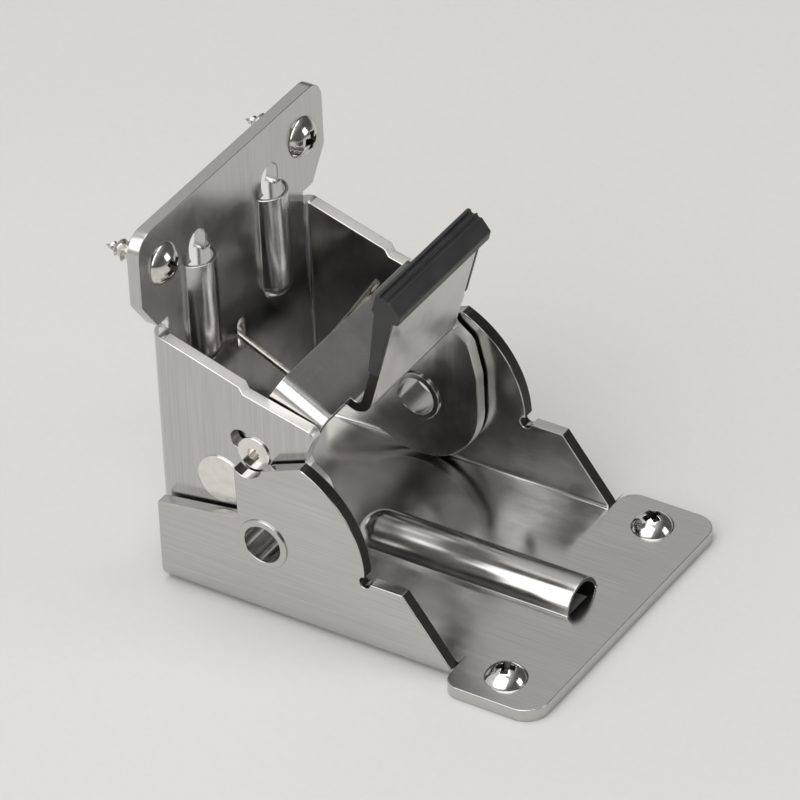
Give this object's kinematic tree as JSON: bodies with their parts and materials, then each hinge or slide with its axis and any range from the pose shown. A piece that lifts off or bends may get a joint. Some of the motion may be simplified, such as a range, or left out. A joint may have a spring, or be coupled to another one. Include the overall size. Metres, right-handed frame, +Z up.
{
  "type": "folding table bracket",
  "caption": "Self-locking folding bracket that joins a table leg frame to a table top and lets it fold flat, released by a sprung lever with a grip bar.",
  "frame": {"origin": "foot of the main pivot axis on the board face, in the middle plane", "axes": "+Z up off the board, -X towards the beam that the leg plate is screwed to, Y along the pivot axis"},
  "size_m": [0.0913, 0.064, 0.0835],
  "materials": {
    "plated_sheet": "nickel-plated folded sheet steel, satin",
    "plated_pin": "nickel-plated turned steel, bright",
    "spring_wire": "bright drawn spring wire",
    "screw": "nickel-plated screw steel, polished",
    "grip_plastic": "black moulded plastic, fine matt",
    "bush_plastic": "black moulded nylon"
  },
  "bodies": {
    "base": {"base_bracket": "plated_sheet", "pivot_rivet_left": "plated_pin", "pivot_rivet_right": "plated_pin", "pivot_washer_left": "plated_pin", "pivot_washer_right": "plated_pin", "base_screw_left": "screw", "base_screw_right": "screw"},
    "leg": {"leg_bracket": "plated_sheet", "lever_pin": "plated_pin", "lever_bush_left": "bush_plastic", "lever_bush_right": "bush_plastic", "lever_spring": "spring_wire", "leg_screw_left": "screw", "leg_screw_right": "screw"},
    "lever": {"lock_lever": "plated_sheet", "lever_grip": "grip_plastic", "lock_pin": "plated_pin"}
  },
  "joints": [
    {"name": "leg_fold", "type": "hinge", "parent": "base", "child": "leg", "pos_m": [0, 0, 0.0162], "axis": [0, 1, 0], "range_deg": [0, 90]},
    {"name": "lever_release", "type": "hinge", "parent": "leg", "child": "lever", "pos_m": [-0.0102, 0, 0.0248], "axis": [0, -1, 0], "range_deg": [0, 17], "stiffness_Nm_per_rad": 0.2, "deforming": ["lever_spring"]}
  ],
  "couplings": [
    {"joint": "lever_release", "follows": "leg_fold", "ratio": 0.18889}
  ]
}
